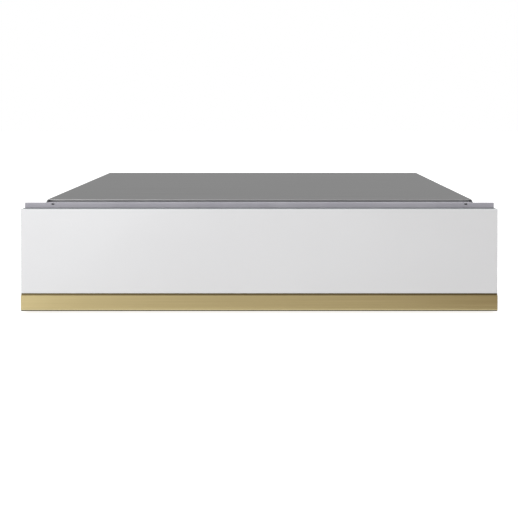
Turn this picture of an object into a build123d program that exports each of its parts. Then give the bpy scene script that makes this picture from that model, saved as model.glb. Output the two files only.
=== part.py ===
from build123d import *
import os

# Built-in warming drawer, in millimetres.
# +X is to the right as the user faces it, -Y is towards the user and +Z is up.
# The origin is under the middle of the appliance, in the plane that its base stands on.

# Front panel
front_width = 595.0
front_lift = 3.1              # lower edge of the front above the base
front_drop = 8.9              # upper edge of the front below the top of the cover
front_depth = 20.0            # face of the glass to the back of its carrier
glass_thickness = 4.0
glass_inset = 0.5             # the trim bar stands this far past each end of the glass
glass_bevel = 0.5
trim_height = 22.0
trim_wall = 2.0
trim_groove_height = 2.2
trim_groove_depth = 2.5
trim_foot_height = 1.3        # set-back foot under the face of the trim bar
trim_foot_depth = 1.5
trim_edge_radius = 0.8
trim_gap = 0.3                # between the trim bar and the glass
carrier_inset = 0.5           # the carrier stays this far inside the outline of the front
carrier_tab_lift = 3.0        # lower edge of the carrier above that of the trim bar

# Casing
frame_overlap = 25.5          # the front frame laps the cabinet this far past each side of the casing
casing_height = 140.0
overall_depth = 550.0
sheet = 1.0
bend = 1.5                    # radius of a fold along the middle of the sheet
base_front_lip = 7.5
base_rear_lip = 12.0
bead_height = 3.0
bead_width = 16.0
bead_end_margin = 40.0
bead_margin = 120.0           # beads from the side walls
side_flange = 12.0
side_front_flange = 8.0
rear_flange = 14.0
cover_side_lip = 14.0
cover_rear_lip = 12.0
cover_setback = 10.0          # front edge of the cover behind the face of the frame
cover_overhang = 6.0          # front edge of the cover past the lip that closes it
cover_edge_radius = 0.4
vent_length = 26.0
vent_width = 3.0
vent_pitch = 9.0
vent_count = 14
vent_rows = 2
vent_row_pitch = 34.0

# Front frame
frame_sheet = 1.2
frame_bottom = 3.0
frame_drop = 3.3              # top of the frame below the top of the cover
frame_lip = 18.0
frame_edge_radius = 0.8
window_bottom = 9.0
window_drop = 14.7            # top of the window below the top of the frame
window_radius = 4.0
fixing_radius = 2.25
fixing_margin = 9.0           # fixing holes from the ends of the frame
fixing_inset = 32.0           # fixing holes from the top and bottom of the frame
slot_margin = 35.5            # locating slots from the ends of the frame
slot_length = 4.0
slot_width = 1.6
slot_drop = 2.0               # locating slots below the top of the frame
gasket_width = 6.0
gasket_thickness = 0.8
gasket_ridge = 1.6            # height of the soft ridge along the gasket
gasket_ridge_width = 2.0
gasket_margin = 1.0           # gasket from the edge of the window

# Motion and clearances
push_travel = 3.0             # the closed drawer can be pressed in this far to release it
push_gap = 5.0                # carrier to frame with the drawer shut
drawer_travel = 400.0
running_gap = 0.3
fit_gap = 0.08

# Ball runners
rail_thickness = 13.0
rail_height = 45.0
rail_sheet = 1.2
rail_length = 410.0
rail_centre = 64.0            # height of the middle of the runners
rail_setback = 3.0            # front of the runners behind the frame
rail_gap = 0.4                # between the webs that are nested in each other
rail_tip_gap = 0.8            # between the channel tips and the inner rail's web
race_lip = 3.4
ball_diameter = 3.9
race_clearance = 0.15
cage_sheet = 0.6
cage_margin = 50.0            # spare length of the runners past the cages at full travel
cage_tip_gap = 0.5
ball_count = 2
ball_end_margin = 12.0

# Tray
tray_bottom = 12.0
tray_rim_drop = 11.0          # rim of the tray below the top of the window
tray_rim = 7.0
tray_corner = 8.0
tray_floor_radius = 6.0
rear_bay = 98.0               # back of the tray to the rear panel
air_slot_count = 14
air_slot_pitch = 12.0
air_slot_length = 24.0
air_slot_width = 4.0
mat_thickness = 2.0
mat_groove_depth = 0.8
mat_groove_width = 3.0
mat_groove_count = 13
mat_margin = 4.0

# Control ledge
ledge_drop = 4.0              # ledge below the rim of the tray
ledge_depth = 56.0
ledge_front_lip = 12.0
ledge_foot = 12.0
knob_margin = 52.0            # knob from the right wall of the tray
knob_radius = 17.0
knob_skirt_height = 2.0
knob_grip_radius = 13.0
knob_height = 10.5
knob_flute_count = 12
knob_flute_radius = 2.2
knob_lift = 0.4
stem_radius = 3.0
stem_depth = 8.0              # length of the stem inside the knob
thermostat_width = 34.0
thermostat_depth = 30.0
thermostat_height = 20.0
thermostat_corner = 2.0
tab_width = 6.3
tab_thickness = 0.8
tab_length = 8.0
tab_spacing = 14.0
switch_spacing = 50.0         # switch to the left of the knob
switch_length = 22.0
switch_width = 14.0
switch_height = 20.0
bezel_margin = 2.0
bezel_height = 1.4
rocker_radius = 9.0
rocker_width = 10.0
rocker_pivot_drop = 3.0       # pivot of the rocker below the ledge
rocker_tilt = 10.0
rocker_pin_radius = 1.5
rocker_pin_length = 1.5
lens_spacing = 27.0           # pilot lens to the left of the switch
lens_radius = 4.5
lens_height = 2.5
lens_stem_radius = 3.0
lens_stem_length = 12.0

# Cross-flow blower
blower_place = -15.0          # middle of the wheel along the casing
blower_height = 64.0          # height of the shaft
blower_setback = 46.0         # shaft in front of the rear panel
wheel_radius = 27.0
wheel_hub_radius = 19.0
wheel_length = 180.0
wheel_disc = 1.6
blade_count = 20
blade_thickness = 0.9
blade_sweep = 16.0
blade_bulge = 1.6
shaft_radius = 2.5
scroll_radius = 33.0
scroll_offset = 2.0
scroll_start = 60.0
tongue_lift = 4.0
tongue_gap = 4.0
tongue_rise = 22.0
tongue_lean = 6.0
plate_margin = 7.0            # end plates from the ends of the wheel
plate_sheet = 1.2
plate_drop = 12.0             # end plates below the rim of the tray
plate_rear_margin = 40.0      # end plates reach this far behind the shaft
foot_length = 12.0
grille_gap = 2.0              # grille behind the tray when the drawer is pressed in
grille_margin = 5.0
bush_radius = 7.0
bush_flange_radius = 9.0
bush_length = 8.0
bush_flange = 2.0
motor_gap = 9.0               # lamination stack from the end plate
stack_length = 20.0
stack_half_width = 23.0
stack_top = 20.0
stack_bottom = 40.0
stack_corner = 3.0
rotor_radius = 12.5
rotor_length = 22.0
coil_half_width = 12.5
coil_window = 14.0
coil_thickness = 6.0
leg_height = 7.0
post_radius = 2.5
post_spacing = 36.0
post_height = 13.0            # posts above the shaft
strap_width = 12.0
strap_sheet = 1.5
heater_radius = 3.2
heater_pitch = 16.0
heater_drop = 16.0            # middle of the heater below the shaft
heater_inset = 16.0           # bend of the heater from the left end plate
heater_stub = 14.0            # heater ends past the right end plate
heater_setback = 9.0          # heater behind the grille
cutout_radius = 8.0
cutout_height = 6.0
cutout_setback = 24.0         # cut-out behind the shaft

# Latch, cable entry and terminal block
latch_margin = 60.0           # latch from the left side wall
latch_width = 34.0
latch_length = 58.0
latch_top = 40.0
latch_corner = 3.0
latch_foot_width = 56.0
latch_foot_sheet = 2.5
plunger_height = 26.0
plunger_radius = 6.0
plunger_length = 34.0
plunger_stand_out = 4.0
plunger_bore_length = 50.0
spring_radius = 4.5
spring_wall = 1.0
striker_width = 30.0
striker_height = 24.0
striker_thickness = 2.0
striker_corner = 3.0
gland_margin = 48.0           # cable entry from the right side wall
gland_height = 40.0
gland_bore = 4.0
gland_neck_radius = 8.0
gland_flange_radius = 11.0
gland_stand_out = 5.0
gland_nut = 6.0
terminal_length = 40.0
terminal_width = 22.0
terminal_height = 18.0
terminal_poles = 3
terminal_well_radius = 3.0
terminal_well_depth = 10.0
terminal_setback = 38.0       # middle of the block in front of the rear panel

# Screws
screw_radius = 1.6
screw_head_radius = 3.0
screw_head_height = 1.5
screw_grip = 3.0              # length past the sheets that a screw joins
screw_inset = 30.0            # rear screws from the top and bottom of the casing
cover_screw_margin = 60.0
rear_screw_margin = 120.0     # cover screws in the rear lip from the side walls
front_screw_count = 4
front_screw_margin = 32.0     # outer front screws from the walls of the tray
front_screw_height = 60.0

# Planes that the pieces share
y_front = -overall_depth / 2
y_carrier = y_front + front_depth
y_frame = y_carrier + push_gap
y_frame_back = y_frame + frame_sheet
y_rear = overall_depth / 2
y_cover_rear = y_rear - gland_stand_out
y_rear_panel = y_cover_rear - sheet
y_rear_inside = y_rear_panel - sheet
y_cover_front = y_frame + cover_setback
y_cover_lip = y_cover_front + cover_overhang
y_tray_back = y_rear_inside - rear_bay
x_cover = front_width / 2 - frame_overlap
x_side = x_cover - sheet
x_inside = x_side - sheet
x_tray = x_inside - rail_thickness
x_lip = x_inside - side_flange - running_gap
x_front_lip = x_inside - running_gap
z_cover = casing_height - sheet
z_frame_top = casing_height - frame_drop
z_front_top = casing_height - front_drop
z_glass = front_lift + trim_height + trim_gap
z_floor = tray_bottom + sheet
window_top = z_frame_top - window_drop
z_rim = window_top - tray_rim_drop
z_ledge = z_rim - ledge_drop
window_width = 2 * x_inside
window_height = window_top - window_bottom
window_middle = (window_top + window_bottom) / 2
x_fixing = front_width / 2 - fixing_margin
knob_place = x_tray - knob_margin
switch_place = knob_place - switch_spacing
lens_place = switch_place - lens_spacing
latch_place = latch_margin - x_inside
gland_place = x_inside - gland_margin
y_partition = y_carrier + ledge_depth
y_ledge = y_carrier + ledge_depth / 2
cage_length = rail_length - drawer_travel / 2 - cage_margin
y_rail = y_frame_back + rail_setback + rail_length / 2
y_grille = y_tray_back + push_travel + grille_gap
y_outlet = y_grille + sheet
y_shaft = y_rear_inside - blower_setback
x_plate_left = blower_place - wheel_length / 2 - plate_margin
x_plate_right = blower_place + wheel_length / 2 + plate_margin
z_plate_top = z_rim - plate_drop
z_outlet_low = blower_height - scroll_radius
z_outlet_high = blower_height + tongue_lift
y_plunger = y_tray_back + striker_thickness + push_travel + running_gap
y_latch = y_plunger + plunger_stand_out
screw_hole = screw_radius + fit_gap


def block(x, y, z):
    """A box between two limits along each axis."""
    limits = (x, y, z)
    middle = [(low + high) / 2 for low, high in limits]
    return Pos(*middle) * Box(*[high - low for low, high in limits])


def rod(start, direction, radius, length):
    """A round bar from a point, along a direction."""
    return extrude(Plane(start, z_dir=direction) * Circle(radius), length)


def facing_front(y):
    """An upright plane seen from the front, at a depth."""
    return Plane((0, y, 0), x_dir=(1, 0, 0), z_dir=(0, -1, 0))


def facing_right(x):
    """An upright plane seen from the right, at a place along the width."""
    return Plane((x, 0, 0), x_dir=(0, 1, 0), z_dir=(1, 0, 0))


def folded(points, thickness, plane, length):
    """A sheet folded along a mid-line, drawn out evenly to both sides of its plane."""
    section = trace(FilletPolyline(*points, radius=bend), thickness)
    return extrude(plane * section, length / 2, both=True)


def mirrored(shape):
    """The same piece on the other side of the appliance."""
    return mirror(shape, about=Plane.YZ)


def both_sides(shape):
    """A cut or pattern on both sides."""
    return shape + mirrored(shape)


def pattern(places, shape):
    """Copies of a flat shape at a row or grid of places."""
    return Sketch() + [place * shape for place in places]


def screw(seat, outward, grip):
    """A pan-head screw: where its head seats, which way the head faces and its length under it."""
    middle = (Align.CENTER, Align.CENTER)
    head = Cylinder(screw_head_radius, screw_head_height, align=(*middle, Align.MIN))
    shank = Cylinder(screw_radius, grip, align=(*middle, Align.MAX))
    return Plane(seat, z_dir=outward) * (head + shank)


def cover_screw_seats():
    """Screws of the top cover: through its side lips and its rear lip."""
    z_lip = casing_height - cover_side_lip / 2
    depths = (y_cover_front + cover_screw_margin, y_cover_rear - cover_screw_margin)
    seats = [((side * x_cover, y, z_lip), (side, 0, 0)) for side in (-1, 1) for y in depths]
    z_rear = casing_height - cover_rear_lip / 2
    x_rear = x_inside - rear_screw_margin
    return seats + [((side * x_rear, y_cover_rear, z_rear), (0, 1, 0)) for side in (-1, 1)]


def rear_screw_seats():
    """Screws through the side panels into the flanges of the rear panel."""
    y = y_rear_panel - rear_flange / 2
    heights = (screw_inset, casing_height - screw_inset)
    return [((side * x_side, y, z), (side, 0, 0)) for side in (-1, 1) for z in heights]


def bay_screw_seats():
    """Screws through the feet of the blower and the latch into the base."""
    y_feet = (y_outlet + foot_length, y_shaft + plate_rear_margin - foot_length)
    x_feet = (x_plate_left - foot_length / 2, x_plate_right + foot_length / 2)
    seats = [((x, y, sheet + plate_sheet), (0, 0, 1)) for x in x_feet for y in y_feet]
    reach = (latch_width + latch_foot_width) / 4
    y_middle = y_latch + latch_length / 2
    z_foot = sheet + latch_foot_sheet
    return seats + [((latch_place + side * reach, y_middle, z_foot), (0, 0, 1)) for side in (-1, 1)]


def front_screw_seats():
    """Screws through the front wall of the tray into the carrier of the glass."""
    pitch = 2 * (x_tray - front_screw_margin) / (front_screw_count - 1)
    places = [(index - (front_screw_count - 1) / 2) * pitch for index in range(front_screw_count)]
    return [((x, y_carrier + sheet, front_screw_height), (0, 1, 0)) for x in places]


def holes_for(seats, depth):
    """Clearance holes under screw heads."""
    holes = Part()
    for seat, outward in seats:
        holes += Plane(seat, z_dir=outward) * Cylinder(screw_hole, 2 * depth)
    return holes


def screws_for(seats, grip):
    """A group of separate screws."""
    return [screw(seat, outward, grip) for seat, outward in seats]


def base_pan():
    """Floor of the casing, turned up at the front and rear, with two stiffening beads."""
    front = y_frame_back + sheet / 2
    rear = y_rear_inside - sheet / 2
    middle = sheet / 2
    path = [(front, base_front_lip), (front, middle), (rear, middle), (rear, base_rear_lip)]
    pan = folded(path, sheet, Plane.YZ, 2 * x_side)
    notch = block((x_lip, x_cover), (y_frame, y_rear_panel), (sheet, base_rear_lip + sheet))
    pan -= both_sides(notch)
    bead_front = y_frame_back + bead_end_margin
    bead_rear = y_tray_back - bead_end_margin
    for x in (bead_margin - x_inside, x_inside - bead_margin):
        place = Pos(x, (bead_front + bead_rear) / 2)
        outside = SlotOverall(bead_rear - bead_front, bead_width, rotation=90)
        inside = SlotOverall(bead_rear - bead_front - 2 * sheet, bead_width - 2 * sheet, rotation=90)
        pan += extrude(place * outside, sheet + bead_height)
        pan -= extrude(place * inside, bead_height)
    return pan - holes_for(bay_screw_seats(), latch_foot_sheet + sheet)


def side_panel():
    """Right side wall: a channel with its flanges turned in, and a front flange turned out."""
    web = x_side - sheet / 2
    tip = x_side - side_flange
    top = z_cover - sheet / 2
    bottom = sheet + sheet / 2
    path = [(tip, top), (web, top), (web, bottom), (tip, bottom)]
    middle = (y_frame_back + y_rear_panel) / 2
    panel = folded(path, sheet, facing_front(middle), y_rear_panel - y_frame_back)
    lip_room = (y_frame_back, y_cover_lip + sheet + running_gap)
    panel -= block((x_lip, x_inside), lip_room, (z_frame_top, casing_height))
    flange = ((x_inside, x_side + side_front_flange), (y_frame_back, y_frame_back + sheet))
    panel += block(*flange, (window_bottom, window_top))
    panel -= holes_for(cover_screw_seats(), 3 * sheet)
    return panel - holes_for(rear_screw_seats(), 2 * sheet)


def rear_panel():
    """Rear wall with its sides turned forward, two rows of vents and the cable hole."""
    side = x_inside - sheet / 2
    back = y_rear_panel - sheet / 2
    tip = y_rear_panel - rear_flange
    bottom = 2 * sheet + bend
    top = z_cover - sheet - bend
    path = [(-side, tip), (-side, back), (side, back), (side, tip)]
    panel = folded(path, sheet, Plane.XY.offset((bottom + top) / 2), top - bottom)
    vent = Rectangle(vent_width, vent_length)
    places = GridLocations(vent_pitch, vent_row_pitch, vent_count, vent_rows)
    wall = facing_front(back) * Pos(blower_place, blower_height)
    panel -= extrude(wall * pattern(places, vent), sheet, both=True)
    cable_hole = (gland_place, y_rear_inside - sheet, gland_height)
    panel -= rod(cable_hole, (0, 1, 0), gland_neck_radius, 3 * sheet)
    panel -= holes_for(rear_screw_seats(), 3 * sheet)
    return panel - holes_for(cover_screw_seats(), 3 * sheet)


def top_cover():
    """Lid with deep lips outside the side and rear walls and a short lip on the front frame."""
    side = x_cover - sheet / 2
    top = casing_height - sheet / 2
    low = casing_height - cover_side_lip
    path = [(-side, low), (-side, top), (side, top), (side, low)]
    middle = (y_cover_front + y_cover_rear) / 2
    cover = folded(path, sheet, facing_front(middle), y_cover_rear - y_cover_front)
    z_rear_lip = casing_height - cover_rear_lip
    cover += block((-x_side, x_side), (y_rear_panel, y_cover_rear), (z_rear_lip, top))
    lip_depth = (y_cover_lip, y_cover_lip + sheet)
    cover += block((-x_front_lip, x_front_lip), lip_depth, (z_frame_top, top))
    front_edges = cover.edges().filter_by(Axis.X).group_by(Axis.Z)[-1].group_by(Axis.Y)[0]
    cover = fillet(front_edges, cover_edge_radius)
    return cover - holes_for(cover_screw_seats(), 2 * sheet)


def front_frame():
    """Flange that laps the cabinet: its window, fixing holes, locating slots and a lip under the cover."""
    height = z_frame_top - frame_bottom
    outline = Pos(0, frame_bottom + height / 2) * Rectangle(front_width, height)
    window = Pos(0, window_middle) * RectangleRounded(window_width, window_height, window_radius)
    plate = outline - window
    for x in (-x_fixing, x_fixing):
        for z in (frame_bottom + fixing_inset, z_frame_top - fixing_inset):
            plate -= Pos(x, z) * Circle(fixing_radius)
        locating = Pos(x / x_fixing * (front_width / 2 - slot_margin), z_frame_top - slot_drop)
        plate -= locating * SlotOverall(slot_length, slot_width)
    frame = extrude(facing_front(y_frame) * plate, -frame_sheet)
    lip_heights = (z_frame_top - frame_sheet, z_frame_top)
    frame += block((-x_front_lip, x_front_lip), (y_frame, y_frame + frame_lip), lip_heights)
    top_edges = frame.edges().filter_by(Axis.X).group_by(Axis.Z)[-1].group_by(Axis.Y)[0]
    return fillet(top_edges, frame_edge_radius)


def front_gasket():
    """Silicone strip round the window with a soft ridge along its middle."""
    def ring(margin, width, height):
        rims = []
        for reach in (margin + width, margin):
            size = (window_width + 2 * reach, window_height + 2 * reach)
            rims.append(RectangleRounded(*size, window_radius + reach))
        return extrude(facing_front(y_frame) * Pos(0, window_middle) * (rims[0] - rims[1]), height)

    ridge_margin = gasket_margin + (gasket_width - gasket_ridge_width) / 2
    strip = ring(gasket_margin, gasket_width, gasket_thickness)
    strip += ring(ridge_margin, gasket_ridge_width, gasket_ridge)
    return strip


def front_glass():
    """Back-painted glass with a polished bevel round its face."""
    half = front_width / 2 - glass_inset
    pane = block((-half, half), (y_front, y_front + glass_thickness), (z_glass, z_front_top))
    return chamfer(pane.faces().sort_by(Axis.Y)[0].edges(), glass_bevel)


def trim_bar():
    """Bar under the glass with a shadow groove, a set-back foot, and a back hollowed between its ends."""
    depth = front_depth - sheet
    corner = (Align.MIN, Align.MIN)
    section = Rectangle(depth, trim_height, align=corner)
    section -= Rectangle(trim_foot_depth, trim_foot_height, align=corner)
    lower_edge = section.vertices().group_by(Axis.X)[0].sort_by(Axis.Y)[0]
    section = fillet(lower_edge, trim_edge_radius)
    groove_bottom = trim_height - trim_groove_height
    section -= Pos(0, groove_bottom) * Rectangle(trim_groove_depth, trim_groove_height, align=corner)
    wall = trim_wall + trim_groove_depth
    hollow = Pos(wall, trim_wall) * Rectangle(depth - wall, trim_height - 2 * trim_wall, align=corner)
    place = facing_right(0) * Pos(y_front, front_lift)
    bar = extrude(place * section, front_width / 2, both=True)
    return bar - extrude(place * hollow, front_width / 2 - trim_wall, both=True)


def front_carrier():
    """Steel pan behind the glass, with a tab down its back that holds the trim bar."""
    half = front_width / 2 - carrier_inset
    heights = (z_glass, z_front_top - carrier_inset)
    pan = block((-half, half), (y_front + glass_thickness, y_carrier), heights)
    pan = offset(pan, amount=-sheet, openings=pan.faces().sort_by(Axis.Y)[0])
    tab_heights = (front_lift + carrier_tab_lift, z_glass + sheet)
    pan += block((-half, half), (y_carrier - sheet, y_carrier), tab_heights)
    return pan - holes_for(front_screw_seats(), 3 * sheet)


def front_insulation():
    """Mineral-wool pad that keeps the glass cool."""
    half = front_width / 2 - carrier_inset - sheet - running_gap
    heights = (z_glass + sheet + running_gap, z_front_top - carrier_inset - sheet - running_gap)
    return block((-half, half), (y_front + glass_thickness, y_carrier - sheet), heights)


def drawer_tray():
    """Deep tub with a turned-out rim and a row of hot-air slots in its back wall."""
    width = 2 * x_tray
    depth = y_tray_back - y_carrier
    middle = (y_tray_back + y_carrier) / 2
    outline = Rectangle(width, depth)
    outline = fillet(outline.vertices().group_by(Axis.Y)[-1], tray_corner)
    tub = extrude(Plane((0, middle, tray_bottom)) * outline, z_rim - tray_bottom)
    tub = fillet(tub.faces().sort_by(Axis.Z)[0].edges(), tray_floor_radius)
    tub = offset(tub, amount=-sheet, openings=tub.faces().sort_by(Axis.Z)[-1])
    rim = Pos(0, tray_rim / 2) * Rectangle(width + 2 * tray_rim, depth + tray_rim)
    rim = fillet(rim.vertices().group_by(Axis.Y)[-1], tray_corner + tray_rim) - outline
    tub += extrude(Plane((0, middle, z_rim)) * rim, -sheet)
    slots = GridLocations(air_slot_pitch, 0, air_slot_count, 1)
    slot = Rectangle(air_slot_width, air_slot_length)
    wall = facing_front(y_tray_back) * Pos(blower_place, (z_outlet_low + z_outlet_high) / 2)
    tub -= extrude(wall * pattern(slots, slot), 2 * sheet, both=True)
    return tub - holes_for(front_screw_seats(), 3 * sheet)


def nonslip_mat():
    """Silicone mat on the tray floor, grooved along its length."""
    half = x_tray - sheet - tray_floor_radius - mat_margin
    front = y_partition + ledge_foot + mat_margin
    back = y_tray_back - sheet - tray_corner - mat_margin
    outline = Pos(0, (front + back) / 2) * RectangleRounded(2 * half, back - front, tray_corner)
    mat = extrude(Plane.XY.offset(z_floor) * outline, mat_thickness)
    top = z_floor + mat_thickness
    pitch = 2 * half / mat_groove_count
    for index in range(mat_groove_count):
        x = (index - (mat_groove_count - 1) / 2) * pitch
        lane = (front + tray_corner, back - tray_corner)
        mat -= block((x, x + mat_groove_width), lane, (top - mat_groove_depth, top))
    return mat


def control_ledge():
    """Folded shelf behind the front with the partition that closes the wiring space below it."""
    front = y_carrier + sheet + sheet / 2
    top = z_ledge - sheet / 2
    floor = z_floor + sheet / 2
    path = [(front, z_ledge - ledge_front_lip), (front, top), (y_partition, top)]
    path += [(y_partition, floor), (y_partition + ledge_foot, floor)]
    half = x_tray - sheet - running_gap
    ledge = folded(path, sheet, Plane.YZ, 2 * half)
    inset = half - tray_floor_radius
    corner = (y_partition - bend - sheet, y_partition + ledge_foot + sheet)
    ledge -= both_sides(block((inset, half + sheet), corner, (tray_bottom, z_floor + tray_floor_radius)))
    ledge -= rod((knob_place, y_ledge, z_ledge), (0, 0, -1), stem_radius + running_gap, 2 * sheet)
    ledge -= rod((lens_place, y_ledge, z_ledge), (0, 0, -1), lens_stem_radius + fit_gap, 2 * sheet)
    length = switch_length / 2 + fit_gap
    width = switch_width / 2 + fit_gap
    cut = ((switch_place - length, switch_place + length), (y_ledge - width, y_ledge + width))
    return ledge - block(*cut, (z_ledge - 2 * sheet, z_ledge))


def thermostat():
    """Thermostat under the ledge, with two blade terminals."""
    top = z_ledge - sheet
    outline = RectangleRounded(thermostat_width, thermostat_depth, thermostat_corner)
    body = extrude(Plane((knob_place, y_ledge, top)) * outline, -thermostat_height)
    for x in (knob_place - tab_spacing / 2, knob_place + tab_spacing / 2):
        blade = Plane((x, y_ledge, top - thermostat_height)) * Rectangle(tab_thickness, tab_width)
        body += extrude(blade, -tab_length)
    bore_depth = thermostat_height / 2 + fit_gap
    return body - rod((knob_place, y_ledge, top), (0, 0, -1), stem_radius + fit_gap, bore_depth)


def thermostat_stem():
    """Stem that carries the knob down into the thermostat."""
    bottom = z_ledge - sheet - thermostat_height / 2
    top = z_ledge + knob_lift + stem_depth
    return rod((knob_place, y_ledge, bottom), (0, 0, 1), stem_radius, top - bottom)


def thermostat_knob():
    """Fluted knob on a flat skirt, with a pointer line cut across its top."""
    skirt = Cylinder(knob_radius, knob_skirt_height, align=(Align.CENTER, Align.CENTER, Align.MIN))
    grip = Cylinder(knob_grip_radius, knob_height, align=(Align.CENTER, Align.CENTER, Align.MIN))
    grip = chamfer(grip.edges().sort_by(Axis.Z)[-1], knob_skirt_height / 2)
    flute = Pos(0, 0, knob_skirt_height + knob_height) * Cylinder(knob_flute_radius, 2 * knob_height)
    for place in PolarLocations(knob_grip_radius + knob_flute_radius / 2, knob_flute_count):
        grip -= place * flute
    knob = skirt + grip
    pointer = (-knob_flute_radius / 4, knob_flute_radius / 4)
    knob -= block(pointer, (knob_grip_radius / 3, knob_radius), (knob_height - knob_lift, knob_height))
    knob -= Cylinder(stem_radius, stem_depth, align=(Align.CENTER, Align.CENTER, Align.MIN))
    return Pos(knob_place, y_ledge, z_ledge + knob_lift) * knob


def rocker_pivot():
    """Middle of the rocker's pivot."""
    return (switch_place, y_ledge, z_ledge - rocker_pivot_drop)


def switch_body():
    """Snap-in switch housing with a bezel and a rounded well for the rocker."""
    middle = Plane((switch_place, y_ledge, z_ledge))
    body = extrude(middle * Rectangle(switch_length, switch_width), -switch_height)
    bezel_size = (switch_length + 2 * bezel_margin, switch_width + 2 * bezel_margin)
    body += extrude(middle * RectangleRounded(*bezel_size, bezel_margin), bezel_height)
    plane = facing_front(0)
    well = extrude(plane * Circle(rocker_radius + running_gap), rocker_width / 2 + running_gap, both=True)
    pins = extrude(plane * Circle(rocker_pin_radius + fit_gap), switch_width / 2, both=True)
    return body - Pos(*rocker_pivot()) * (well + pins)


def power_rocker():
    """Rocker with ends rounded about its pivot, a dished face and two pivot pins, drawn switched off."""
    rise = rocker_pivot_drop + bezel_height
    section = Circle(rocker_radius)
    section -= Pos(0, -rocker_radius - rise) * Rectangle(2 * rocker_radius, 2 * rocker_radius)
    for side in (-1, 1):
        face = Pos(0, rise) * Rot(0, 0, side * rocker_tilt)
        align = (Align.MAX if side < 0 else Align.MIN, Align.MIN)
        section -= face * Rectangle(2 * rocker_radius, 2 * rocker_radius, align=align)
    rocker = extrude(facing_front(0) * section, rocker_width / 2, both=True)
    pin_reach = rocker_width / 2 + rocker_pin_length
    rocker += extrude(facing_front(0) * Circle(rocker_pin_radius), pin_reach, both=True)
    return Pos(*rocker_pivot()) * Rot(0, -rocker_tilt, 0) * rocker


def pilot_lens():
    """Domed lens of the pilot lamp with its stem through the ledge."""
    lens = rod((lens_place, y_ledge, z_ledge), (0, 0, 1), lens_radius, lens_height)
    lens = fillet(lens.edges().sort_by(Axis.Z)[-1], lens_height / 2)
    return lens + rod((lens_place, y_ledge, z_ledge), (0, 0, -1), lens_stem_radius, lens_stem_length)


def latch_striker():
    """Steel plate on the back of the tray that the latch plunger meets."""
    plate = RectangleRounded(striker_width, striker_height, striker_corner)
    place = facing_front(y_tray_back) * Pos(latch_place, plunger_height)
    return extrude(place * plate, -striker_thickness)


def channel(web, tip, half, sheet_used, length, lip=0.0):
    """Right-hand runner channel: distances of its web and tips from the wall, and half its height."""
    upper = [(tip, half), (web, half)]
    if lip:
        upper.insert(0, (tip, half - lip))
    lower = [(u, -v) for u, v in reversed(upper)]
    path = [(x_inside - u, rail_centre + v) for u, v in upper + lower]
    return folded(path, sheet_used, facing_front(y_rail), length)


def runner():
    """The right-hand ball runner: three nested rails, two cages and their balls."""
    half = rail_sheet / 2
    cage_half = cage_sheet / 2
    outer_web = half
    outer_cage_web = rail_sheet + rail_gap + cage_half
    middle_web = outer_cage_web + cage_half + rail_gap + half
    inner_cage_web = middle_web + half + rail_gap + cage_half
    inner_web = rail_thickness - half
    inner_tip = inner_cage_web + cage_half + rail_gap
    tip = inner_web - half - rail_tip_gap - half
    cage_tip = tip - half - cage_tip_gap
    race = race_clearance + ball_diameter / 2
    outer_row = rail_height / 2 - rail_sheet - race
    middle_half = outer_row - race - half
    inner_row = middle_half - half - race
    inner_half = inner_row - race - half
    outer_half = rail_height / 2 - half
    pieces = {
        "outer_rail": channel(outer_web, tip, outer_half, rail_sheet, rail_length, race_lip),
        "middle_rail": channel(middle_web, tip, middle_half, rail_sheet, rail_length, race_lip),
        "inner_rail": channel(inner_web, inner_tip, inner_half, rail_sheet, rail_length),
    }
    rows = {
        "outer": (outer_cage_web, outer_row, rail_sheet),
        "inner": (inner_cage_web, inner_row, middle_web + half),
    }
    step = (cage_length - 2 * ball_end_margin) / (ball_count - 1)
    for name, (web, row, wall) in rows.items():
        cage = channel(web, cage_tip, row, cage_sheet, cage_length)
        x = x_inside - (wall + tip - half) / 2
        balls = []
        for index in range(ball_count):
            y = y_rail - cage_length / 2 + ball_end_margin + index * step
            cage -= Pos(x, y, rail_centre) * Cylinder(ball_diameter / 2 + fit_gap, rail_height)
            balls += [Pos(x, y, rail_centre + side * row) * Sphere(ball_diameter / 2) for side in (-1, 1)]
        pieces[f"{name}_cage"] = cage
        pieces[f"{name}_balls"] = Compound(balls)
    return pieces


def end_plate(x, outward, hole):
    """End plate of the blower with a foot on the base and a hole for what carries the shaft."""
    depths = (y_outlet, y_shaft + plate_rear_margin)
    plate = block((x - plate_sheet / 2, x + plate_sheet / 2), depths, (sheet, z_plate_top))
    ends = sorted((x, x + outward * (foot_length + plate_sheet / 2)))
    plate += block(ends, depths, (sheet, sheet + plate_sheet))
    return plate - rod((x - plate_sheet, y_shaft, blower_height), (1, 0, 0), hole, 2 * plate_sheet)


def blower_housing():
    """Scroll and tongue of the cross-flow blower between its two end plates."""
    length = x_plate_right - x_plate_left
    plane = facing_right((x_plate_left + x_plate_right) / 2)
    centre = (y_shaft + scroll_offset, blower_height)
    arc = CenterArc(centre, scroll_radius, scroll_start, -90 - scroll_start)
    floor = Line((centre[0], z_outlet_low), (y_outlet, z_outlet_low))
    housing = extrude(plane * trace(arc + floor, sheet), length / 2, both=True)
    lip = y_shaft - wheel_radius - tongue_gap
    path = [(y_outlet, z_outlet_high), (lip, z_outlet_high)]
    path.append((lip - tongue_lean, z_outlet_high + tongue_rise))
    housing += folded(path, sheet, plane, length)
    housing += end_plate(x_plate_left, -1, bush_radius)
    housing += end_plate(x_plate_right, 1, bush_radius)
    y_heater = y_grille + heater_setback
    for side in (-1, 1):
        z = blower_height - heater_drop + side * heater_pitch / 2
        start = (x_plate_right - plate_sheet, y_heater, z)
        housing -= rod(start, (1, 0, 0), heater_radius + fit_gap, 2 * plate_sheet)
    return housing - holes_for(bay_screw_seats(), 2 * plate_sheet)


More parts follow.
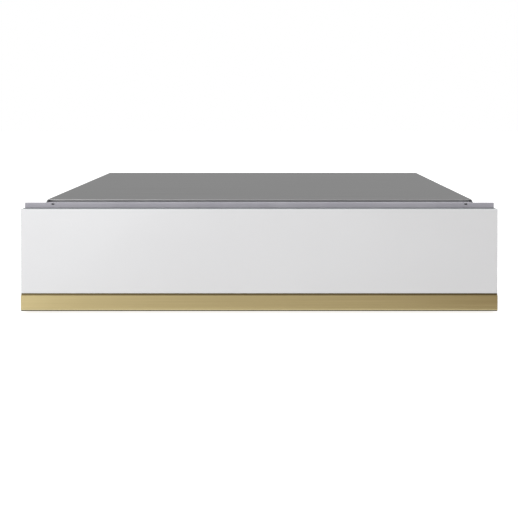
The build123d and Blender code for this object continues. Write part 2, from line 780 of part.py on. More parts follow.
def air_grille():
    """Slotted plate over the outlet of the blower."""
    width = x_plate_right - x_plate_left + plate_sheet
    height = z_outlet_high - z_outlet_low + 2 * grille_margin
    plate = RectangleRounded(width, height, grille_margin)
    slots = GridLocations(air_slot_pitch, 0, air_slot_count, 1)
    plate -= pattern(slots, Rectangle(air_slot_width, air_slot_length))
    place = Pos((x_plate_left + x_plate_right) / 2, (z_outlet_low + z_outlet_high) / 2)
    return extrude(facing_front(y_grille) * place * plate, -sheet)


def blower_wheel():
    """Cross-flow wheel: curved blades between two end discs and a middle disc."""
    inner = Vector(wheel_hub_radius, 0)
    outer = Vector(wheel_radius - blade_thickness, 0).rotate(Axis.Z, blade_sweep)
    middle = (inner + outer) / 2 + Vector(0, -blade_bulge)
    blade = trace(ThreePointArc(inner, middle, outer), blade_thickness)
    blades = pattern(PolarLocations(0, blade_count), blade)
    wheel = extrude(blades, wheel_length / 2, both=True)
    disc = Circle(wheel_radius) - Circle(shaft_radius)
    for z in (-wheel_length / 2, -wheel_disc / 2, wheel_length / 2 - wheel_disc):
        wheel += extrude(Plane.XY.offset(z) * disc, wheel_disc)
    return Plane((blower_place, y_shaft, blower_height), x_dir=(0, 1, 0), z_dir=(1, 0, 0)) * wheel


def motor_middle():
    """Place along the width of the middle of the motor's stack."""
    return x_plate_right + plate_sheet / 2 + motor_gap + stack_length / 2


def x_strap():
    """Inner face of the motor's outer strap."""
    return motor_middle() + stack_length / 2 + motor_gap


def blower_shaft():
    """Shaft from the bush in the left end plate to the strap outside the motor."""
    start = x_plate_left - plate_sheet / 2 - bush_length / 2
    end = x_strap() + strap_sheet
    return rod((start, y_shaft, blower_height), (1, 0, 0), shaft_radius, end - start)


def blower_rotor():
    """Squirrel-cage rotor on the shaft."""
    rotor = Circle(rotor_radius) - Circle(shaft_radius)
    place = facing_right(motor_middle()) * Pos(y_shaft, blower_height)
    return extrude(place * rotor, rotor_length / 2, both=True)


def blower_bush():
    """Flanged sleeve bearing in the left end plate."""
    bore = Circle(shaft_radius + fit_gap)
    inside = facing_right(x_plate_left + plate_sheet / 2) * Pos(y_shaft, blower_height)
    bush = extrude(inside * (Circle(bush_radius) - bore), -bush_length)
    outside = facing_right(x_plate_left - plate_sheet / 2) * Pos(y_shaft, blower_height)
    return bush + extrude(outside * (Circle(bush_flange_radius) - bore), -bush_flange)


def motor_stack():
    """Lamination stack of a shaded-pole motor: a bore for the rotor and a window for the coil."""
    size = (2 * stack_half_width, stack_top + stack_bottom)
    outline = Pos(0, (stack_top - stack_bottom) / 2) * RectangleRounded(*size, stack_corner)
    outline -= Circle(rotor_radius + running_gap)
    z_window = leg_height + coil_window / 2 - stack_bottom
    outline -= Pos(0, z_window) * Rectangle(2 * coil_half_width + 2 * fit_gap, coil_window)
    for side in (-1, 1):
        outline -= Pos(side * post_spacing / 2, post_height) * Circle(post_radius + fit_gap)
    place = facing_right(motor_middle()) * Pos(y_shaft, blower_height)
    return extrude(place * outline, stack_length / 2, both=True)


def motor_coil():
    """Coil on its bobbin round the lower leg of the stack."""
    leg_low = -stack_bottom
    leg_top = leg_low + leg_height
    high = leg_top + coil_window - fit_gap
    low = leg_low - (high - leg_top)
    place = facing_right(motor_middle()) * Pos(y_shaft, blower_height)
    body = Pos(0, (low + high) / 2) * Rectangle(2 * coil_half_width, high - low)
    coil = extrude(place * body, stack_length / 2 + coil_thickness, both=True)
    coil = chamfer(coil.edges().filter_by(Axis.Y), coil_thickness / 2)
    leg = Pos(0, (leg_low + leg_top) / 2) * Rectangle(2 * coil_half_width, leg_height)
    return coil - extrude(place * leg, stack_length / 2, both=True)


def motor_bracket():
    """Outer strap with the shaft's bearing hole, held off the end plate by two posts."""
    strap = SlotOverall(post_spacing + strap_width, strap_width)
    arm = Pos(0, post_height) * strap + Pos(0, post_height / 2) * Rectangle(strap_width, post_height)
    arm += Circle(strap_width / 2)
    arm -= Circle(shaft_radius + fit_gap)
    bracket = extrude(facing_right(x_strap()) * Pos(y_shaft, blower_height) * arm, strap_sheet)
    start = x_plate_right + plate_sheet / 2
    for side in (-1, 1):
        foot = (start, y_shaft + side * post_spacing / 2, blower_height + post_height)
        bracket += rod(foot, (1, 0, 0), post_radius, x_strap() - start)
    return bracket


def heater():
    """Tubular heater bent into a hairpin in the outlet of the blower."""
    y = y_grille + heater_setback
    upper = blower_height - heater_drop + heater_pitch / 2
    lower = blower_height - heater_drop - heater_pitch / 2
    start = x_plate_right + heater_stub
    bend_start = x_plate_left + heater_inset + heater_pitch / 2
    plane = facing_front(y)
    turn = (bend_start - heater_pitch / 2, (upper + lower) / 2)
    line = Line((start, upper), (bend_start, upper))
    line += ThreePointArc((bend_start, upper), turn, (bend_start, lower))
    line += Line((bend_start, lower), (start, lower))
    section = Plane((start, y, upper), z_dir=(-1, 0, 0)) * Circle(heater_radius)
    return sweep(section, path=plane * line)


def thermal_cutout():
    """Disc cut-out on the left end plate with two blade terminals."""
    face = (x_plate_left - plate_sheet / 2, y_shaft + cutout_setback, blower_height)
    disc = rod(face, (-1, 0, 0), cutout_radius, cutout_height)
    for side in (-1, 1):
        foot = (face[0] - cutout_height, face[1] + side * cutout_radius / 2, face[2])
        blade = Plane(foot, z_dir=(-1, 0, 0)) * Rectangle(tab_width, tab_thickness)
        disc += extrude(blade, tab_length)
    return disc


def latch_housing():
    """Push-to-open latch on the base: a moulded block with a bore for the plunger and two feet."""
    depths = (y_latch, y_latch + latch_length)
    sides = (latch_place - latch_width / 2, latch_place + latch_width / 2)
    body = block(sides, depths, (sheet, latch_top))
    body = fillet(body.edges().filter_by(Axis.Y).group_by(Axis.Z)[-1], latch_corner)
    feet = (latch_place - latch_foot_width / 2, latch_place + latch_foot_width / 2)
    body += block(feet, depths, (sheet, sheet + latch_foot_sheet))
    mouth = (latch_place, y_latch, plunger_height)
    body -= rod(mouth, (0, 1, 0), plunger_radius + fit_gap, plunger_bore_length)
    return body - holes_for(bay_screw_seats(), 2 * latch_foot_sheet)


def latch_plunger():
    """Plunger with a bevelled nose that rides in the latch."""
    plunger = rod((latch_place, y_plunger, plunger_height), (0, 1, 0), plunger_radius, plunger_length)
    return chamfer(plunger.edges().sort_by(Axis.Y)[0], plunger_radius / 3)


def latch_spring():
    """Space of the spring behind the plunger."""
    start = y_plunger + plunger_length
    end = y_latch + plunger_bore_length
    ring = Circle(spring_radius) - Circle(spring_radius - spring_wall)
    return extrude(facing_front(start) * Pos(latch_place, plunger_height) * ring, start - end)


def cable_gland():
    """Cable entry in the rear panel: a flanged bush with a nut inside."""
    place = Pos(gland_place, gland_height)
    neck = extrude(facing_front(y_rear_panel) * place * Circle(gland_neck_radius - fit_gap), sheet)
    collar = facing_front(y_rear_panel) * place * Circle(gland_flange_radius)
    flange = extrude(collar, y_rear_panel - y_rear)
    flange = chamfer(flange.edges().sort_by(Axis.Y)[-1], sheet)
    nut = RegularPolygon(gland_flange_radius, 6)
    gland = neck + flange + extrude(facing_front(y_rear_inside) * place * nut, gland_nut)
    mouth = (gland_place, y_rear_inside - gland_nut, gland_height)
    return gland - rod(mouth, (0, 1, 0), gland_bore, overall_depth)


def terminal_block():
    """Terminal block on the base with a row of screw wells."""
    y = y_rear_panel - terminal_setback
    outline = RectangleRounded(terminal_length, terminal_width, latch_corner)
    body = extrude(Plane((gland_place, y, sheet)) * outline, terminal_height)
    pitch = terminal_length / terminal_poles
    for index in range(terminal_poles):
        x = gland_place + (index - (terminal_poles - 1) / 2) * pitch
        body -= rod((x, y, sheet + terminal_height), (0, 0, -1), terminal_well_radius, terminal_well_depth)
    return body


nodes = {
    "base_pan": base_pan(),
    "right_side_panel": side_panel(),
    "rear_panel": rear_panel(),
    "top_cover": top_cover(),
    "front_frame": front_frame(),
    "front_gasket": front_gasket(),
    "front_glass": front_glass(),
    "trim_bar": trim_bar(),
    "front_carrier": front_carrier(),
    "front_insulation": front_insulation(),
    "drawer_tray": drawer_tray(),
    "nonslip_mat": nonslip_mat(),
    "control_ledge": control_ledge(),
    "thermostat": thermostat(),
    "thermostat_stem": thermostat_stem(),
    "thermostat_knob": thermostat_knob(),
    "switch_body": switch_body(),
    "power_rocker": power_rocker(),
    "pilot_lens": pilot_lens(),
    "latch_striker": latch_striker(),
    "blower_housing": blower_housing(),
    "air_grille": air_grille(),
    "blower_wheel": blower_wheel(),
    "blower_shaft": blower_shaft(),
    "blower_rotor": blower_rotor(),
    "blower_bush": blower_bush(),
    "motor_stack": motor_stack(),
    "motor_coil": motor_coil(),
    "motor_bracket": motor_bracket(),
    "heater": heater(),
    "thermal_cutout": thermal_cutout(),
    "latch_housing": latch_housing(),
    "latch_plunger": latch_plunger(),
    "latch_spring": latch_spring(),
    "cable_gland": cable_gland(),
    "terminal_block": terminal_block(),
}
nodes["left_side_panel"] = mirrored(nodes["right_side_panel"])
for name, piece in runner().items():
    nodes[f"right_{name}"] = piece
    nodes[f"left_{name}"] = mirrored(piece)

casing_seats = cover_screw_seats() + rear_screw_seats()
nodes["casing_screws"] = Compound(screws_for(casing_seats, 2 * sheet + screw_grip))
blower_screws = screws_for(bay_screw_seats()[:4], plate_sheet + sheet)
nodes["bay_screws"] = Compound(blower_screws + screws_for(bay_screw_seats()[4:], latch_foot_sheet + sheet))
nodes["front_screws"] = Compound(screws_for(front_screw_seats(), 2 * sheet))

os.makedirs("parts", exist_ok=True)
for name, shape in nodes.items():
    export_step(shape, f"parts/{name}.step")
print(len(nodes), "nodes")
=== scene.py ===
"""Looks of the built-in warming drawer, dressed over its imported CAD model. Metres, in the CAD frame."""
import bmesh
import bpy
import math
from mathutils import Matrix, Vector, noise


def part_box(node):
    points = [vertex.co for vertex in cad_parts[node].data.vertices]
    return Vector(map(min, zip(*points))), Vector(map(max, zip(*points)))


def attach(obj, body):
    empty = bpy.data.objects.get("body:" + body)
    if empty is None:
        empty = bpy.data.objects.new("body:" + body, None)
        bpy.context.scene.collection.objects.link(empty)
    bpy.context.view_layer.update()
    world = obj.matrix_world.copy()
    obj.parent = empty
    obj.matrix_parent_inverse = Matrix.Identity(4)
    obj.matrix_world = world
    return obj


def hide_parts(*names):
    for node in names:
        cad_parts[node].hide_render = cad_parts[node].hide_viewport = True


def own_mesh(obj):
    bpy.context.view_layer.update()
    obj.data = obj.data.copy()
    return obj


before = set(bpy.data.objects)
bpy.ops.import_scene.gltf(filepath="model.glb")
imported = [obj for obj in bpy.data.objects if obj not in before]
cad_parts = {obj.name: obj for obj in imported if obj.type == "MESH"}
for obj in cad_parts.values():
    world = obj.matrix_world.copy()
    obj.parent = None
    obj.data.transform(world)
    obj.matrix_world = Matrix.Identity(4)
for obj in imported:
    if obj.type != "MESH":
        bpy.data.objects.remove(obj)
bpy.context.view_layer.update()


# Casing: folded sheet steel about a millimetre thick, screwed together at its flanges. The lid is
# ground along its width, and the hidden sheets keep the frosted crystals of their zinc coat.
def surface(material):
    """The inputs of a material's surface shader."""
    return material.node_tree.nodes["Principled BSDF"].inputs


def new_finish(name, colour, roughness, metal=0.0):
    """A material with the plain values of one finish, ready for its detail."""
    material = bpy.data.materials.new(name)
    material.use_nodes = True
    surface(material)["Base Color"].default_value = (*colour, 1.0)
    surface(material)["Roughness"].default_value = roughness
    surface(material)["Metallic"].default_value = metal
    return material


def add_node(tree, kind, inputs, **settings):
    """A shader node with its settings. Each input is linked to a socket or set to a value."""
    node = tree.nodes.new(kind)
    for name, value in settings.items():
        setattr(node, name, value)
    for name, value in inputs.items():
        if isinstance(value, bpy.types.NodeSocket):
            tree.links.new(value, node.inputs[name])
        else:
            node.inputs[name].default_value = value
    return node


def texture(material, kind, per_metre, **inputs):
    """A texture in the piece's own metres, with its repeats per metre along each axis."""
    tree = material.node_tree
    places = tree.nodes.new("ShaderNodeTexCoord")
    stretch = add_node(tree, "ShaderNodeMapping", {"Vector": places.outputs["Object"], "Scale": per_metre})
    return add_node(tree, kind, {"Vector": stretch.outputs["Vector"], "Scale": 1.0, **inputs})


def grain(material, per_metre, detail=3.0):
    """Soft random grain."""
    return texture(material, "ShaderNodeTexNoise", per_metre, Detail=detail).outputs["Fac"]


def shade(material, source, dark, light, low=0.35, high=0.65):
    """Colours the surface between two tones of the finish."""
    tree = material.node_tree
    ramp = add_node(tree, "ShaderNodeValToRGB", {"Fac": source})
    dark_stop, light_stop = ramp.color_ramp.elements
    dark_stop.position, dark_stop.color = low, (*dark, 1.0)
    light_stop.position, light_stop.color = high, (*light, 1.0)
    tree.links.new(ramp.outputs["Color"], surface(material)["Base Color"])


def polish(material, source, low, high):
    """Varies how rough the surface is."""
    tree = material.node_tree
    spread = add_node(tree, "ShaderNodeMapRange", {
        "Value": source, "From Min": 0.3, "From Max": 0.7, "To Min": low, "To Max": high})
    tree.links.new(spread.outputs["Result"], surface(material)["Roughness"])


def relief(material, source, depth):
    """Raises the surface by a depth, on top of any relief that it has."""
    tree = material.node_tree
    normal = surface(material)["Normal"]
    bump = add_node(tree, "ShaderNodeBump", {"Height": source, "Distance": depth})
    if normal.links:
        tree.links.new(normal.links[0].from_socket, bump.inputs["Normal"])
    tree.links.new(bump.outputs["Normal"], normal)


def soft_edges(material, radius):
    """Breaks the sharp edges of a piece as deburring or moulding does."""
    tree = material.node_tree
    bevel = add_node(tree, "ShaderNodeBevel", {"Radius": radius}, samples=4)
    tree.links.new(bevel.outputs["Normal"], surface(material)["Normal"])


def dress(material, *names):
    """Gives CAD pieces their finish."""
    for name in names:
        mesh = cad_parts[name].data
        mesh.materials.clear()
        mesh.materials.append(material)


lid_steel = new_finish("ground_steel_lid", (0.335, 0.335, 0.335), 0.42, metal=1.0)
surface(lid_steel)["Specular Tint"].default_value = (0.36, 0.36, 0.36, 1.0)
soft_edges(lid_steel, radius=0.0004)
lid_strokes = grain(lid_steel, (4, 900, 900), detail=4)
shade(lid_steel, lid_strokes, (0.31, 0.31, 0.311), (0.36, 0.36, 0.359))
polish(lid_steel, grain(lid_steel, (3, 300, 300)), 0.40, 0.45)
relief(lid_steel, lid_strokes, depth=0.00001)
dress(lid_steel, "top_cover")


def galvanised(name, dark, light, crystals_per_metre, edge_tint=(1.0, 1.0, 1.0)):
    """Zinc crystals of two sizes with ragged edges, each with its own tone and gloss."""
    material = new_finish(name, light, 0.42, metal=1.0)
    surface(material)["Specular Tint"].default_value = (*edge_tint, 1.0)
    soft_edges(material, radius=0.0004)
    tree = material.node_tree
    fronds = texture(material, "ShaderNodeTexNoise", (900, 900, 900), Detail=4.0)
    places = tree.nodes.new("ShaderNodeTexCoord")
    raggedness = [0.3 / crystals_per_metre] * 3
    ragged = add_node(tree, "ShaderNodeVectorMath", {
        0: fronds.outputs["Color"], 1: raggedness, 2: places.outputs["Object"]}, operation="MULTIPLY_ADD")
    tones = []
    for finer in (1.0, 2.3):
        crystals = add_node(tree, "ShaderNodeTexVoronoi", {
            "Vector": ragged.outputs["Vector"], "Scale": finer * crystals_per_metre})
        tones.append(add_node(tree, "ShaderNodeSeparateColor", {"Color": crystals.outputs["Color"]}))
    large, small = tones
    both = add_node(tree, "ShaderNodeMix", {
        "Factor": 0.4, "A": large.outputs["Red"], "B": small.outputs["Red"]})
    shade(material, both.outputs["Result"], dark, light, low=0.15, high=0.85)
    polish(material, large.outputs["Green"], 0.36, 0.48)
    relief(material, fronds.outputs["Fac"], depth=0.00001)
    return material


casing_zinc = galvanised("galvanised_sheet", (0.29, 0.30, 0.31), (0.40, 0.41, 0.42), 110)
dress(casing_zinc, "base_pan", "left_side_panel", "right_side_panel", "rear_panel")


# Casing screws: zinc-plated pan heads with a cross recess, pressed cold from wire. They pull the
# flanges of the sheets together, and shorter ones hold the blower, the latch and the drawer front.
def new_piece(name, maker, material, body, slot, *stands_for, smooth=False):
    """A mesh piece that moves with a CAD body and stands for CAD nodes."""
    bmesh.ops.recalc_face_normals(maker, faces=maker.faces)
    mesh = bpy.data.meshes.new(name)
    maker.to_mesh(mesh)
    maker.free()
    mesh.materials.append(material)
    if smooth:
        mesh.shade_smooth()
    piece = bpy.data.objects.new(name, mesh)
    bpy.context.scene.collection.objects.link(piece)
    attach(piece, body)
    if stands_for:
        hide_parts(*stands_for)
    return piece


def ring_of(maker, place, radius, height, corners):
    """A ring of vertices round the axis of a place."""
    ring = []
    for corner in range(corners):
        turn = math.tau * corner / corners
        point = Vector((radius * math.cos(turn), radius * math.sin(turn), height))
        ring.append(maker.verts.new(place @ point))
    return ring


def wall_between(maker, lower, upper):
    """Faces between two rings with the same number of vertices."""
    for index, vertex in enumerate(lower):
        after = (index + 1) % len(lower)
        maker.faces.new((vertex, lower[after], upper[after], upper[index]))


def edges_round(maker, ring):
    """The edges that join a ring's vertices."""
    return [maker.edges.get((vertex, ring[index - 1])) for index, vertex in enumerate(ring)]


def cross_outline(maker, place, arm, half_slot, height):
    """The twelve corners of a cross recess."""
    corners = ((arm, -half_slot), (arm, half_slot), (half_slot, half_slot))
    outline = []
    for quarter in range(4):
        turn = Matrix.Rotation(math.tau * quarter / 4, 4, "Z")
        for x, y in corners:
            outline.append(maker.verts.new(place @ turn @ Vector((x, y, height))))
    return outline


screw_zinc = new_finish("bright_zinc_screws", (0.62, 0.63, 0.65), 0.3, metal=1.0)
shade(screw_zinc, grain(screw_zinc, (500, 500, 500)), (0.50, 0.51, 0.54), (0.68, 0.68, 0.67))
polish(screw_zinc, grain(screw_zinc, (1500, 1500, 1500)), 0.22, 0.42)


def pan_head_screws(name, seats, grip, body, cad_node):
    """Screws with their heads seated at points, facing outward, with a plain shank under them."""
    head_radius, head_height, recess_depth = 0.0030, 0.0015, 0.0010
    shank_radius, point_length, corners = 0.0016, 0.0006, 20
    profile = ((shank_radius * 0.7, -grip), (shank_radius, point_length - grip), (shank_radius, 0.0),
               (head_radius, 0.0), (head_radius, head_height * 0.45),
               (head_radius * 0.93, head_height * 0.8), (head_radius * 0.76, head_height))
    maker = bmesh.new()
    for seat, outward in seats:
        facing = Vector(outward).to_track_quat("Z", "Y").to_matrix().to_4x4()
        place = Matrix.Translation(seat) @ facing
        rings = [ring_of(maker, place, radius, height, corners) for radius, height in profile]
        maker.faces.new(reversed(rings[0]))
        for lower, upper in zip(rings, rings[1:]):
            wall_between(maker, lower, upper)
        mouth = cross_outline(maker, place, 0.0019, 0.00042, head_height)
        pit = cross_outline(maker, place, 0.0010, 0.00026, head_height - recess_depth)
        wall_between(maker, pit, mouth)
        maker.faces.new(pit)
        head_top = edges_round(maker, rings[-1]) + edges_round(maker, mouth)
        bmesh.ops.triangle_fill(maker, edges=head_top, use_beauty=True)
    new_piece(name, maker, screw_zinc, body, "screw_zinc", cad_node)


backward, upward = (0, 1, 0), (0, 0, 1)
lid_side, lid_side_height = 0.272, 0.133
lid_rear, lid_rear_height, lid_rear_reach = 0.270, 0.134, 0.150
side_wall, rear_flange = 0.271, 0.262
casing_seats = []
for side in (-1, 1):
    for y in (-0.180, 0.210):
        casing_seats.append(((side * lid_side, y, lid_side_height), (side, 0, 0)))
    for z in (0.030, 0.110):
        casing_seats.append(((side * side_wall, rear_flange, z), (side, 0, 0)))
    casing_seats.append(((side * lid_rear_reach, lid_rear, lid_rear_height), backward))
pan_head_screws("casing_screw_heads", casing_seats, 0.005, "casing", "casing_screws")

blower_foot_top = 0.0022
latch_middle, latch_lug_reach, latch_lug_back, latch_lug_top = -0.210, 0.0225, 0.2083, 0.0035
bay_seats = [((x, y, blower_foot_top), upward) for x in (-0.118, 0.088) for y in (0.188, 0.250)]
for side in (-1, 1):
    bay_seats.append(((latch_middle + side * latch_lug_reach, latch_lug_back, latch_lug_top), upward))
pan_head_screws("bay_screw_heads", bay_seats, 0.0022, "casing", "bay_screws")

tray_front_inside, front_screw_height = -0.254, 0.060
front_seats = [((x, tray_front_inside, front_screw_height), backward)
               for x in (-0.225, -0.075, 0.075, 0.225)]
pan_head_screws("front_screw_heads", front_seats, 0.002, "drawer", "front_screws")


# Front frame: one plate of steel, welded to the side walls and powder coated in a cool light grey.
# It laps the edges of the cabinet, and the fixing screws go through its ends.
frame_coat = new_finish("grey_powder_coat", (0.38, 0.372, 0.41), 0.48)
surface(frame_coat)["Specular IOR Level"].default_value = 0.4
soft_edges(frame_coat, radius=0.0005)
shade(frame_coat, grain(frame_coat, (30, 30, 30)), (0.36, 0.352, 0.39), (0.40, 0.392, 0.43))
polish(frame_coat, grain(frame_coat, (400, 400, 400)), 0.40, 0.56)
relief(frame_coat, grain(frame_coat, (1400, 1400, 1400), detail=2), depth=0.00002)
dress(frame_coat, "front_frame")


# Gasket: an extruded strip of dark silicone, glued round the window with its corners bent. The soft
# bulb along its middle takes up the gap to the drawer front and keeps the warm air in.
def closed_loop(maker, rings):
    """Faces from each ring to the next one, and from the last to the first."""
    for index, ring in enumerate(rings):
        wall_between(maker, rings[index - 1], ring)


gasket_rubber = new_finish("dark_silicone", (0.03, 0.03, 0.032), 0.6)
gasket_bloom = grain(gasket_rubber, (60, 60, 60), detail=6)
shade(gasket_rubber, gasket_bloom, (0.022, 0.022, 0.024), (0.045, 0.045, 0.047))
polish(gasket_rubber, grain(gasket_rubber, (250, 250, 250)), 0.5, 0.72)
relief(gasket_rubber, grain(gasket_rubber, (2200, 2200, 2200)), depth=0.00002)

frame_face, window_half_width, window_half_height, window_middle = -0.250, 0.274, 0.0605, 0.0655
bend_radius, bend_steps = 0.008, 8
half_profile = ((-0.0030, 0.0), (-0.0030, 0.0006), (-0.0028, 0.0008), (-0.0012, 0.0008),
                (-0.0009, 0.0011), (-0.0005, 0.00145))
bulb_top = (0.0, 0.0016)
gasket_profile = [*half_profile, bulb_top, *((-across, stand) for across, stand in reversed(half_profile))]
gasket = bmesh.new()
gasket_rings = []
for quarter, (side, level) in enumerate(((1, 1), (-1, 1), (-1, -1), (1, -1))):
    centre = Vector((side * (window_half_width - bend_radius), frame_face,
                     window_middle + level * (window_half_height - bend_radius)))
    for step in range(bend_steps + 1):
        turn = math.tau / 4 * (quarter + step / bend_steps)
        outward = Vector((math.cos(turn), 0, math.sin(turn)))
        gasket_rings.append([])
        for across, stand in gasket_profile:
            point = centre + outward * (bend_radius + across) - Vector((0, stand, 0))
            gasket_rings[-1].append(gasket.verts.new(point))
closed_loop(gasket, gasket_rings)
new_piece("gasket_strip", gasket, gasket_rubber, "casing", "dark_silicone", "front_gasket", smooth=True)


# Ball runners: rails roll-formed from zinc-plated strip, nested in each other. Steel balls roll in the
# races between them, held apart by thin pressed cages, with a film of dark grease.
runner_zinc = new_finish("runner_zinc_plate", (0.60, 0.61, 0.64), 0.3, metal=1.0)
soft_edges(runner_zinc, radius=0.0003)
shade(runner_zinc, grain(runner_zinc, (300, 5, 300), detail=4), (0.50, 0.51, 0.55), (0.66, 0.67, 0.69))
polish(runner_zinc, grain(runner_zinc, (90, 25, 90)), 0.2, 0.42)
relief(runner_zinc, grain(runner_zinc, (900, 8, 900)), depth=0.00001)

cage_steel = new_finish("greased_cage_steel", (0.40, 0.39, 0.37), 0.36, metal=1.0)
shade(cage_steel, grain(cage_steel, (70, 30, 70), detail=5), (0.22, 0.20, 0.17), (0.48, 0.47, 0.46))
polish(cage_steel, grain(cage_steel, (120, 120, 120)), 0.18, 0.5)

ball_steel = new_finish("polished_ball_steel", (0.72, 0.72, 0.73), 0.12, metal=1.0)
ball_marks = grain(ball_steel, (400, 400, 400))
shade(ball_steel, ball_marks, (0.55, 0.54, 0.52), (0.76, 0.76, 0.77), low=0.25, high=0.5)
polish(ball_steel, grain(ball_steel, (600, 600, 600)), 0.06, 0.2)

for side in ("left", "right"):
    dress(runner_zinc, f"{side}_outer_rail", f"{side}_middle_rail", f"{side}_inner_rail")
    dress(cage_steel, f"{side}_outer_cage", f"{side}_inner_cage")
    dress(ball_steel, f"{side}_outer_balls", f"{side}_inner_balls")


# Blower: a cross-flow wheel of thin aluminium blades between discs, in a folded scroll of galvanised
# sheet. It draws air in at the rear and sends it through the grille and the slots of the tray.
blower_zinc = galvanised("blower_galvanised_sheet", (0.42, 0.43, 0.44), (0.54, 0.55, 0.56), 150)
dress(blower_zinc, "blower_housing", "air_grille", "motor_bracket")

wheel_aluminium = new_finish("wheel_aluminium", (0.68, 0.69, 0.70), 0.34, metal=1.0)
wheel_strokes = grain(wheel_aluminium, (6, 500, 500))
shade(wheel_aluminium, wheel_strokes, (0.60, 0.61, 0.62), (0.74, 0.75, 0.76))
polish(wheel_aluminium, grain(wheel_aluminium, (40, 300, 300)), 0.26, 0.44)
dress(wheel_aluminium, "blower_wheel")
dress(ball_steel, "blower_shaft")

bush_bronze = new_finish("sintered_bronze", (0.42, 0.27, 0.12), 0.45, metal=1.0)
shade(bush_bronze, grain(bush_bronze, (1800, 1800, 1800)), (0.32, 0.20, 0.09), (0.50, 0.33, 0.15))
relief(bush_bronze, grain(bush_bronze, (2600, 2600, 2600)), depth=0.00003)
dress(bush_bronze, "blower_bush")


# Blower motor: a stack of blued laminations with the rotor in its bore. The coil is wound on a nylon
# bobbin round the lower leg of the stack and bound with yellow tape.
stack_steel = new_finish("blued_laminations", (0.10, 0.10, 0.115), 0.5, metal=0.8)
laminations = texture(stack_steel, "ShaderNodeTexWave", (640, 0, 0)).outputs["Fac"]
shade(stack_steel, laminations, (0.05, 0.05, 0.06), (0.15, 0.15, 0.17), low=0.2, high=0.7)
relief(stack_steel, laminations, depth=0.00006)
dress(stack_steel, "motor_stack", "blower_rotor")

coil_tape = new_finish("yellow_coil_tape", (0.62, 0.43, 0.08), 0.4)
tape_laps = texture(coil_tape, "ShaderNodeTexWave", (0, 90, 0), Distortion=1.5).outputs["Fac"]
shade(coil_tape, tape_laps, (0.50, 0.33, 0.05), (0.68, 0.50, 0.12), low=0.1, high=0.5)
relief(coil_tape, tape_laps, depth=0.0001)


def squared_off(wave):
    """Pushes a sine or cosine outward, so that a circle becomes a block with round corners."""
    return math.copysign(abs(wave) ** 0.45, wave)


coil_middle = Vector((0.1016, 0.222, 0.0275))
coil_half_width, coil_half_length, coil_half_height = 0.0160, 0.0125, 0.0174
leg_half_width, leg_half_height = 0.0100, 0.0035
end_share, coil_steps, coil_corners = 0.86, 12, 40
coil_turns = [math.tau * corner / coil_corners for corner in range(coil_corners)]
coil = bmesh.new()
coil_rings = []
for step in range(coil_steps + 1):
    along = 2 * step / coil_steps - 1
    swell = end_share + (1 - end_share) * math.cos(along * math.pi / 2) ** 0.5
    coil_rings.append([])
    for turn in coil_turns:
        x = squared_off(math.cos(turn)) * coil_half_width * swell
        z = squared_off(math.sin(turn)) * coil_half_height * swell
        point = coil_middle + Vector((x, along * coil_half_length, z))
        coil_rings[-1].append(coil.verts.new(point))
for along in (1, -1):
    coil_rings.append([])
    for turn in coil_turns:
        reach = 1 / max(abs(math.cos(turn)) / leg_half_width, abs(math.sin(turn)) / leg_half_height)
        on_leg = Vector((reach * math.cos(turn), along * coil_half_length, reach * math.sin(turn)))
        coil_rings[-1].append(coil.verts.new(coil_middle + on_leg))
closed_loop(coil, coil_rings)
new_piece("taped_coil", coil, coil_tape, "casing", "coil_tape", "motor_coil", smooth=True)


# Heater and cut-out: a sheathed tube bent into a hairpin in the air outlet, scaled by its own heat, and
# a disc thermostat riveted to the end plate that opens when the air stops.
heater_scale = new_finish("heat_scaled_sheath", (0.10, 0.09, 0.08), 0.55, metal=0.7)
scale_flakes = grain(heater_scale, (60, 200, 200), detail=6)
shade(heater_scale, scale_flakes, (0.05, 0.045, 0.04), (0.20, 0.17, 0.14))
polish(heater_scale, grain(heater_scale, (300, 300, 300)), 0.42, 0.68)
relief(heater_scale, grain(heater_scale, (1600, 1600, 1600)), depth=0.00003)
dress(heater_scale, "heater")


def moulded(name, colour, roughness):
    """Spark-eroded moulding grain on a plastic of one colour."""
    material = new_finish(name, colour, roughness)
    surface(material)["Specular IOR Level"].default_value = 0.45
    soft_edges(material, radius=0.0004)
    dark = [channel * 0.85 for channel in colour]
    light = [channel * 1.15 for channel in colour]
    shade(material, grain(material, (120, 120, 120)), dark, light)
    polish(material, grain(material, (700, 700, 700)), roughness - 0.08, roughness + 0.1)
    relief(material, grain(material, (2500, 2500, 2500), detail=2), depth=0.00002)
    return material


black_moulding = moulded("black_moulding", (0.018, 0.018, 0.02), 0.48)
dress(black_moulding, "thermal_cutout")


# Mains connection: a terminal block moulded in grey plastic, fixed to the base with its screw wells
# upward, and a black nylon gland that is clamped in a hole of the rear panel.
grey_moulding = moulded("grey_moulding", (0.20, 0.20, 0.205), 0.5)
dress(grey_moulding, "terminal_block")
dress(black_moulding, "cable_gland")


# Push latch: a moulded grey housing on the base with a sprung plunger. A press on the front releases
# the drawer, and the plunger pushes it out far enough to grip.
def capped_tube(maker, rings):
    """Faces along a row of rings, and one over each end."""
    for lower, upper in zip(rings, rings[1:]):
        wall_between(maker, lower, upper)
    maker.faces.new(rings[0])
    maker.faces.new(rings[-1])


dress(grey_moulding, "latch_housing")
dress(black_moulding, "latch_plunger")

